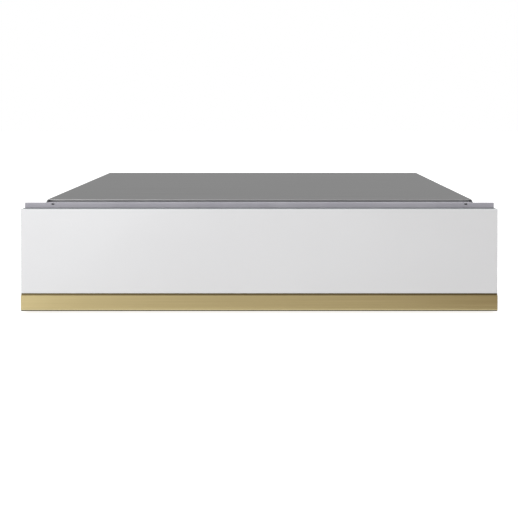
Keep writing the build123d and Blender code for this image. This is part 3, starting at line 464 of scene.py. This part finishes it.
spring_steel = new_finish("bright_spring_wire", (0.52, 0.52, 0.53), 0.25, metal=1.0)
shade(spring_steel, grain(spring_steel, (900, 900, 900)), (0.40, 0.40, 0.41), (0.60, 0.60, 0.60))
polish(spring_steel, grain(spring_steel, (1500, 1500, 1500)), 0.18, 0.35)
spring_x, spring_z, spring_start, spring_end = -0.210, 0.026, 0.2093, 0.2293
spring_radius, spring_turns, steps_per_turn = 0.0040, 6, 24
wire_radius, wire_sides = 0.0005, 8
spring = bmesh.new()
wire_rings = []
for step in range(spring_turns * steps_per_turn + 1):
    turn = math.tau * step / steps_per_turn
    share = step / (spring_turns * steps_per_turn)
    outward = Vector((math.cos(turn), 0, math.sin(turn)))
    along = spring_start + wire_radius + share * (spring_end - spring_start - 2 * wire_radius)
    centre = Vector((spring_x, along, spring_z)) + outward * spring_radius
    wire_rings.append([])
    for wire_side in range(wire_sides):
        angle = math.tau * wire_side / wire_sides
        round_wire = outward * math.cos(angle) + Vector((0, math.sin(angle), 0))
        wire_rings[-1].append(spring.verts.new(centre + round_wire * wire_radius))
capped_tube(spring, wire_rings)
spring_piece = new_piece("plunger_spring", spring, spring_steel, "casing", "spring_steel", "latch_spring",
                         smooth=True)
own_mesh(spring_piece)


# Drawer tray and ledge: drawn and folded from one grade of stainless sheet and brushed front to back,
# with the control ledge welded in behind the front and the striker of the latch at the rear.
def brushed_stainless(name, floor_strokes, wall_strokes):
    """Brush strokes of one direction on the floor and another on the walls that face front and back."""
    material = new_finish(name, (0.56, 0.56, 0.55), 0.34, metal=1.0)
    soft_edges(material, radius=0.0005)
    tree = material.node_tree
    facing = tree.nodes.new("ShaderNodeTexCoord")
    axes = add_node(tree, "ShaderNodeSeparateXYZ", {"Vector": facing.outputs["Normal"]})
    on_wall = add_node(tree, "ShaderNodeMath", {0: axes.outputs["Y"]}, operation="ABSOLUTE")
    strokes = add_node(tree, "ShaderNodeMix", {
        "Factor": on_wall.outputs["Value"],
        "A": grain(material, floor_strokes, detail=4),
        "B": grain(material, wall_strokes, detail=4)}).outputs["Result"]
    shade(material, strokes, (0.50, 0.50, 0.495), (0.62, 0.62, 0.61))
    polish(material, strokes, 0.30, 0.38)
    relief(material, strokes, depth=0.000012)
    return material


strokes_along, strokes_across = (900, 5, 900), (5, 900, 900)
dress(brushed_stainless("brushed_stainless_tray", strokes_along, strokes_across), "drawer_tray")
ledge_steel = brushed_stainless("brushed_stainless_ledge", strokes_across, strokes_across)
dress(ledge_steel, "control_ledge", "latch_striker")


# Non-slip mat: moulded dark grey silicone that lies loose on the tray floor. Rounded ribs run front to
# back so that plates don't slide, and a flat margin goes round them.
mat_rubber = new_finish("grey_silicone_mat", (0.045, 0.045, 0.048), 0.62)
shade(mat_rubber, grain(mat_rubber, (45, 45, 45), detail=6), (0.036, 0.036, 0.038), (0.06, 0.06, 0.063))
polish(mat_rubber, grain(mat_rubber, (220, 220, 220)), 0.52, 0.74)
relief(mat_rubber, grain(mat_rubber, (1800, 1800, 1800)), depth=0.00002)
mat_half, mat_front, mat_back, mat_floor, mat_top = 0.246, -0.183, 0.157, 0.013, 0.0142
mat_corner, mat_margin = 0.008, 0.009
rib_height, rib_pitch, rib_run_out, rib_steps = 0.0008, 0.006, 0.002, 6
rib_count = int((mat_half - mat_margin) * 2 / rib_pitch)
round_corner = [mat_half - inward for inward in (0.0, 0.0008, 0.003, mat_corner)]
across = [-x for x in round_corner]
across += [(index / rib_steps - rib_count / 2) * rib_pitch for index in range(rib_count * rib_steps + 1)]
across += reversed(round_corner)
mat = bmesh.new()
columns = []
for x in across:
    into_corner = max(0.0, abs(x) - (mat_half - mat_corner))
    cut_back = mat_corner - math.sqrt(max(0.0, mat_corner ** 2 - into_corner ** 2))
    front, back = mat_front + cut_back, mat_back - cut_back
    rib_top = mat_top
    if abs(x) <= rib_count * rib_pitch / 2:
        rib_top += rib_height * math.sin(math.pi * (x / rib_pitch + rib_count / 2)) ** 2
    rows = ((front, mat_floor), (front, mat_top), (front + mat_margin, mat_top),
            (front + mat_margin + rib_run_out, rib_top), (back - mat_margin - rib_run_out, rib_top),
            (back - mat_margin, mat_top), (back, mat_top), (back, mat_floor))
    columns.append([mat.verts.new((x, y, z)) for y, z in rows])
capped_tube(mat, columns)
new_piece("ribbed_mat", mat, mat_rubber, "drawer", "mat_silicone", "nonslip_mat")


# Thermostat and knob: a black moulded thermostat under the ledge with its stem through it, and a
# fluted knob pressed on the stem. The ledge carries a printed scale round the knob.
dress(moulded("thermostat_case", (0.018, 0.018, 0.02), 0.5), "thermostat")
dress(moulded("stem_nylon", (0.20, 0.20, 0.20), 0.5), "thermostat_stem")
dress(moulded("satin_knob", (0.022, 0.022, 0.024), 0.34), "thermostat_knob")

scale_ink = new_finish("dark_scale_ink", (0.03, 0.03, 0.035), 0.6)
shade(scale_ink, grain(scale_ink, (900, 900, 900)), (0.025, 0.025, 0.03), (0.05, 0.05, 0.055))


def raised_patch(maker, place, outline, height):
    """A closed patch of print or inlay: an outline on a face, raised by a height."""
    capped_tube(maker, [[maker.verts.new(place @ Vector((x, y, z))) for x, y in outline]
                        for z in (0.0, height)])


def bar_outline(half_width, start, end):
    """The four corners of a straight mark."""
    return (-half_width, start), (half_width, start), (half_width, end), (-half_width, end)


def printed_figure(text, size, thickness):
    """The mesh of one figure, centred on its own place."""
    lettering = bpy.data.curves.new("figure", "FONT")
    lettering.body = text
    lettering.size = size
    lettering.align_x = "CENTER"
    lettering.align_y = "CENTER"
    lettering.extrude = thickness / 2
    holder = bpy.data.objects.new("figure", lettering)
    bpy.context.scene.collection.objects.link(holder)
    bpy.context.view_layer.update()
    mesh = bpy.data.meshes.new_from_object(holder)
    bpy.data.objects.remove(holder)
    bpy.data.curves.remove(lettering)
    return mesh


knob_axis = Vector((0.205, -0.227, 0.107))
ink_height, welding_distance = 0.00006, 0.000001
mark_count, mark_spacing = 11, math.radians(27)
long_mark = bar_outline(half_width=0.0004, start=0.0185, end=0.0215)
short_mark = bar_outline(half_width=0.00025, start=0.0185, end=0.0205)
figure_size, figure_reach = 0.0042, 0.0242
scale_print = bmesh.new()
for mark in range(mark_count):
    turn = Matrix.Translation(knob_axis) @ Matrix.Rotation(-mark * mark_spacing, 4, "Z")
    if mark % 2:
        raised_patch(scale_print, turn, short_mark, ink_height)
        continue
    raised_patch(scale_print, turn, long_mark, ink_height)
    figure = printed_figure(str(mark // 2), figure_size, ink_height)
    figure.transform(Matrix.Translation(turn @ Vector((0, figure_reach, ink_height / 2))))
    scale_print.from_mesh(figure)
    bpy.data.meshes.remove(figure)
bmesh.ops.remove_doubles(scale_print, verts=scale_print.verts, dist=welding_distance)
new_piece("knob_scale", scale_print, scale_ink, "drawer", "black_plastic")

pointer_paint = new_finish("white_pointer_paint", (0.75, 0.75, 0.74), 0.5)
shade(pointer_paint, grain(pointer_paint, (1200, 1200, 1200)), (0.68, 0.68, 0.67), (0.80, 0.80, 0.79))
groove_floor, inlay_height = 0.01055, 0.0003
pointer = bmesh.new()
on_knob = Matrix.Translation(knob_axis + Vector((0, 0, groove_floor)))
raised_patch(pointer, on_knob, bar_outline(half_width=0.0005, start=0.0045, end=0.0118), inlay_height)
new_piece("pointer_inlay", pointer, pointer_paint, "knob", "knob_plastic")


# Power switch: a snap-in housing with a dished rocker on two pins. A bar and a ring are printed on the
# two halves of the rocker for on and off.
dress(moulded("switch_case", (0.018, 0.018, 0.02), 0.45), "switch_body")
dress(moulded("rocker_cap", (0.024, 0.024, 0.026), 0.36), "power_rocker")
rocker_pivot = Vector((0.155, -0.227, 0.104))
rocker_rise, rocker_tilt, mark_reach = 0.0044, math.radians(10), 0.0048
on_bar = bar_outline(half_width=0.0003, start=-0.0013, end=0.0013)
off_outer, off_inner, off_corners = 0.0014, 0.0009, 28
off_section = ((off_outer, 0.0), (off_outer, ink_height), (off_inner, ink_height), (off_inner, 0.0))
rocker_print = bmesh.new()
rocker_top = (Matrix.Translation(rocker_pivot) @ Matrix.Rotation(-rocker_tilt, 4, "Y")
              @ Matrix.Translation((0, 0, rocker_rise)))
on_half, off_half = (rocker_top @ Matrix.Rotation(-side * rocker_tilt, 4, "Y")
                     @ Matrix.Translation((side * mark_reach, 0, 0)) for side in (1, -1))
closed_loop(rocker_print, [ring_of(rocker_print, off_half, radius, height, off_corners)
                           for radius, height in off_section])
raised_patch(rocker_print, on_half, on_bar, ink_height)
new_piece("rocker_marks", rocker_print, pointer_paint, "rocker", "knob_plastic")


# Pilot lens: clear amber acrylic with a domed top, pressed through the ledge. A small lamp below it
# glows while the drawer heats.
lens_acrylic = new_finish("amber_acrylic", (0.85, 0.32, 0.03), 0.12)
surface(lens_acrylic)["Transmission Weight"].default_value = 0.5
surface(lens_acrylic)["IOR"].default_value = 1.49
shade(lens_acrylic, grain(lens_acrylic, (500, 500, 500)), (0.78, 0.26, 0.02), (0.90, 0.38, 0.05))
polish(lens_acrylic, grain(lens_acrylic, (900, 900, 900)), 0.08, 0.18)
dress(lens_acrylic, "pilot_lens")


# Front carrier: a shallow galvanised pan screwed to the tray. It holds a pad of mineral wool behind the
# glass, and its tab carries the trim bar.
# A darker copy of the galvanised finish: its tones and its edge reflection are lowered as painted shade,
# so the carrier's top reads as shaded in the gap behind the glass.
carrier_zinc_painted_shade = galvanised("carrier_galvanised_painted_shade", (0.22, 0.22, 0.235), (0.30, 0.30, 0.32), 140,
                          edge_tint=(0.3, 0.3, 0.32))
dress(carrier_zinc_painted_shade, "front_carrier")

wool_fibre = new_finish("mineral_wool", (0.56, 0.50, 0.34), 0.95)
surface(wool_fibre)["Specular IOR Level"].default_value = 0.1
shade(wool_fibre, grain(wool_fibre, (300, 60, 900), detail=6), (0.42, 0.36, 0.22), (0.66, 0.60, 0.43))
relief(wool_fibre, grain(wool_fibre, (700, 700, 1500), detail=4), depth=0.0004)
wool_low, wool_high = (Vector(corner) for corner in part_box("front_insulation"))
wool_middle, wool_half = (wool_low + wool_high) / 2, (wool_high - wool_low) / 2
edge_drop, tuft_depth, tufts_per_metre, wool_cuts = 0.0015, 0.0006, 60, 31
wool = bmesh.new()
bmesh.ops.create_cube(wool, size=1.0)
bmesh.ops.subdivide_edges(wool, edges=wool.edges[:], cuts=wool_cuts, use_grid_fill=True)
for vertex in wool.verts:
    shares = 2 * vertex.co
    on_block = shares * wool_half
    nearness = [abs(share) ** 4 for share in shares]
    tufts = abs(noise.noise(on_block * tufts_per_metre)) * tuft_depth
    for axis in range(3):
        beside = sum(nearness) - nearness[axis]
        on_block[axis] -= shares[axis] * (edge_drop * beside / 2 + tufts)
    vertex.co = wool_middle + on_block
wool_piece = new_piece("wool_pad", wool, wool_fibre, "drawer", "mineral_wool", "front_insulation",
                       smooth=True)


# Glass front: a pane of clear float glass with a polished bevel, painted white on its back and bonded
# to the carrier. The paint shows through the glass, and the raw edges look faintly green.
def tone_where(material, tone, *limits):
    """Tones the colour where every limit holds: a place or facing, its axis, its start and its end."""
    tree = material.node_tree
    base = surface(material)["Base Color"]
    places = tree.nodes.new("ShaderNodeTexCoord")
    share = 1.0
    for kind, axis, start, end in limits:
        axes = add_node(tree, "ShaderNodeSeparateXYZ", {"Vector": places.outputs[kind]})
        share = add_node(tree, "ShaderNodeMapRange", {
            "Value": axes.outputs[axis], "From Min": start, "From Max": end,
            "To Max": share}).outputs["Result"]
    toned = add_node(tree, "ShaderNodeMix", {
        "Factor": share, "A": base.links[0].from_socket, "B": (*tone, 1.0)},
        data_type="RGBA", blend_type="MULTIPLY")
    tree.links.new(toned.outputs["Result"], base)


white_glass = new_finish("white_painted_glass", (0.74, 0.74, 0.75), 0.5)
surface(white_glass)["Specular IOR Level"].default_value = 0.1
surface(white_glass)["Coat Weight"].default_value = 1.0
surface(white_glass)["Coat Roughness"].default_value = 0.03
surface(white_glass)["Coat IOR"].default_value = 1.5
shade(white_glass, grain(white_glass, (7, 7, 7), detail=2), (0.735, 0.735, 0.745), (0.745, 0.745, 0.755))
away_from_front = ("Normal", "Y", -0.98, -0.6)
tone_where(white_glass, (0.70, 0.78, 0.75), away_from_front)
dress(white_glass, "front_glass")


# Trim bar: an aluminium extrusion on the carrier's tab, brushed lengthwise and anodised gold. A groove
# parts it from the glass above, and its lower edge stands over a set-back foot. The groove and the foot
# are darkened with painted shade, and a band along the lower edge carries a painted highlight.
gold_anodised = new_finish("gold_anodised_trim", (0.44, 0.36, 0.185), 0.34, metal=1.0)
surface(gold_anodised)["Coat Weight"].default_value = 0.2
surface(gold_anodised)["Coat Roughness"].default_value = 0.3
soft_edges(gold_anodised, radius=0.0003)
gold_strokes = grain(gold_anodised, (5, 2200, 2200), detail=4)
shade(gold_anodised, gold_strokes, (0.415, 0.342, 0.171), (0.485, 0.40, 0.21))
polish(gold_anodised, grain(gold_anodised, (3, 300, 300)), 0.30, 0.40)
relief(gold_anodised, gold_strokes, depth=0.000012)

facing_front = ("Normal", "Y", -0.3, -0.8)
set_back = ("Object", "Y", -0.2743, -0.2739)
painted_highlight_band = ("Object", "Z", 0.0062, 0.0054)
painted_shade_groove = ("Object", "Z", 0.0225, 0.0228)
painted_shade_foot = ("Object", "Z", 0.0047, 0.0044)
# Painted highlight: a band along the lower edge is lightened and whitened, standing in for the floor's
# reflection.
tone_where(gold_anodised, (1.2, 1.25, 1.35), painted_highlight_band, facing_front)
# Painted shade: the groove under the glass is darkened.
tone_where(gold_anodised, (0.36, 0.34, 0.32), painted_shade_groove, set_back, facing_front)
# Painted shade: the set-back foot under the lower edge is darkened almost to black.
tone_where(gold_anodised, (0.1, 0.1, 0.1), painted_shade_foot, set_back, facing_front)
dress(gold_anodised, "trim_bar")


# Studio: a white floor that runs back into a white background, one soft key light at the front left
# and weaker fills. The floor shows white to the camera and keeps the shadow of the drawer. A brown
# flag lies on it in front of the drawer and shows in reflections only, fading out to the left.
scene = bpy.context.scene
scene.view_settings.view_transform = "Standard"


def seen_directly(tree):
    """One for rays from the camera, and for those that metal and glass reflect or pass."""
    path = tree.nodes.new("ShaderNodeLightPath")
    share = path.outputs["Is Camera Ray"]
    for ray in ("Is Glossy Ray", "Is Transmission Ray"):
        either = add_node(tree, "ShaderNodeMath", {0: share, 1: path.outputs[ray]}, operation="MAXIMUM")
        share = either.outputs["Value"]
    return share


world = bpy.data.worlds.new("studio")
world.use_nodes = True
scene.world = world
world_tree = world.node_tree
sky = world_tree.nodes["Background"].inputs
sky["Color"].default_value = (1.0, 1.0, 1.0, 1.0)
sky_level = add_node(world_tree, "ShaderNodeMapRange", {
    "Value": seen_directly(world_tree), "To Min": 0.34, "To Max": 1.0})
world_tree.links.new(sky_level.outputs["Result"], sky["Strength"])


def stage_paper(name):
    """A material without a shader, for a sheet of the studio."""
    material = bpy.data.materials.new(name)
    material.use_nodes = True
    material.node_tree.nodes.remove(material.node_tree.nodes["Principled BSDF"])
    return material


def stage_sheet(name, material, left, right, front, back, height):
    """A flat sheet of the studio, which isn't part of the drawer."""
    mesh = bpy.data.meshes.new(name)
    corners = ((left, front), (right, front), (right, back), (left, back))
    mesh.from_pydata([(x, y, height) for x, y in corners], [], [(0, 1, 2, 3)])
    mesh.materials.append(material)
    sheet = bpy.data.objects.new(name, mesh)
    scene.collection.objects.link(sheet)
    return sheet


floor_paper = stage_paper("white_floor_paper")
floor_tree = floor_paper.node_tree
paper = add_node(floor_tree, "ShaderNodeBsdfDiffuse", {"Color": (0.45, 0.45, 0.45, 1.0)})
paper_place = floor_tree.nodes.new("ShaderNodeTexCoord")
paper_reach = add_node(floor_tree, "ShaderNodeVectorMath", {0: paper_place.outputs["Object"]},
                       operation="LENGTH")
paper_fade = add_node(floor_tree, "ShaderNodeMapRange", {
    "Value": paper_reach.outputs["Value"], "From Min": 0.5, "From Max": 1.6, "To Min": 0.8, "To Max": 1.0})
paper_level = add_node(floor_tree, "ShaderNodeMath", {
    0: seen_directly(floor_tree), 1: paper_fade.outputs["Result"]}, operation="MULTIPLY")
paper_white = add_node(floor_tree, "ShaderNodeEmission", {"Strength": paper_level.outputs["Value"]})
paper_sum = add_node(floor_tree, "ShaderNodeAddShader", {
    0: paper.outputs["BSDF"], 1: paper_white.outputs["Emission"]})
floor_tree.links.new(paper_sum.outputs["Shader"], floor_tree.nodes["Material Output"].inputs["Surface"])
stage_sheet("floor", floor_paper, left=-8.0, right=8.0, front=-8.0, back=8.0, height=-0.0003)

flag_start, flag_full = -0.35, 0.45
flag_board = stage_paper("brown_flag_board")
flag_tree = flag_board.node_tree
flag_tone = add_node(flag_tree, "ShaderNodeEmission", {"Color": (0.30, 0.22, 0.15, 1.0)})
flag_clear = flag_tree.nodes.new("ShaderNodeBsdfTransparent")
flag_place = flag_tree.nodes.new("ShaderNodeTexCoord")
flag_axes = add_node(flag_tree, "ShaderNodeSeparateXYZ", {"Vector": flag_place.outputs["Object"]})
flag_span = add_node(flag_tree, "ShaderNodeMapRange", {
    "Value": flag_axes.outputs["X"], "From Min": flag_start, "From Max": flag_full})
flag_fade = add_node(flag_tree, "ShaderNodeFloatCurve", {"Value": flag_span.outputs["Result"]})
fade_points = flag_fade.mapping.curves[0].points
fade_points[0].location = (0.06, 0.02)
fade_points[1].location = (0.81, 0.79)
for place, depth in ((0.25, 0.42), (0.6, 0.56)):
    fade_points.new(place, depth)
flag_fade.mapping.update()
flag_mix = add_node(flag_tree, "ShaderNodeMixShader", {
    "Fac": flag_fade.outputs["Value"], 1: flag_clear.outputs["BSDF"], 2: flag_tone.outputs["Emission"]})
flag_tree.links.new(flag_mix.outputs["Shader"], flag_tree.nodes["Material Output"].inputs["Surface"])
flag = stage_sheet("flag", flag_board, left=flag_start, right=1.2, front=-1.8, back=-0.29, height=0.0005)
flag.visible_camera = False
flag.visible_diffuse = False
flag.visible_transmission = False
flag.visible_shadow = False


def soft_box(name, place, aim, size, power):
    """A square soft light at a place, aimed at a point."""
    lamp = bpy.data.lights.new(name, "AREA")
    lamp.size = size
    lamp.energy = power
    box = bpy.data.objects.new(name, lamp)
    box.location = place
    box.rotation_euler = (Vector(aim) - Vector(place)).to_track_quat("-Z", "Y").to_euler()
    scene.collection.objects.link(box)
    return box


soft_box("key_light", place=(-1.5, -1.9, 0.8), aim=(0, -0.27, 0.07), size=1.0, power=36)
soft_box("right_fill", place=(1.8, -1.6, 0.9), aim=(0, 0, 0.07), size=1.4, power=12)
top_light = soft_box("top_light", place=(0, 0.2, 2.2), aim=(0, 0, 0.1), size=3.0, power=24)
rear_fill = soft_box("rear_fill", place=(0.8, 2.2, 1.2), aim=(0, 0, 0.07), size=1.4, power=18)
top_light.visible_glossy = False
rear_fill.visible_glossy = False

camera_pitch = math.radians(1.49)
camera_lens = bpy.data.cameras.new("camera")
camera_lens.lens = 72.4
camera_lens.sensor_width = 36.0
camera_lens.shift_x = -0.0249
camera_lens.shift_y = -0.2477
camera = bpy.data.objects.new("camera", camera_lens)
camera.location = (0.0158, -1.569, 0.2622)
camera.rotation_euler = (math.radians(90) - camera_pitch, 0, 0)
scene.collection.objects.link(camera)
scene.camera = camera
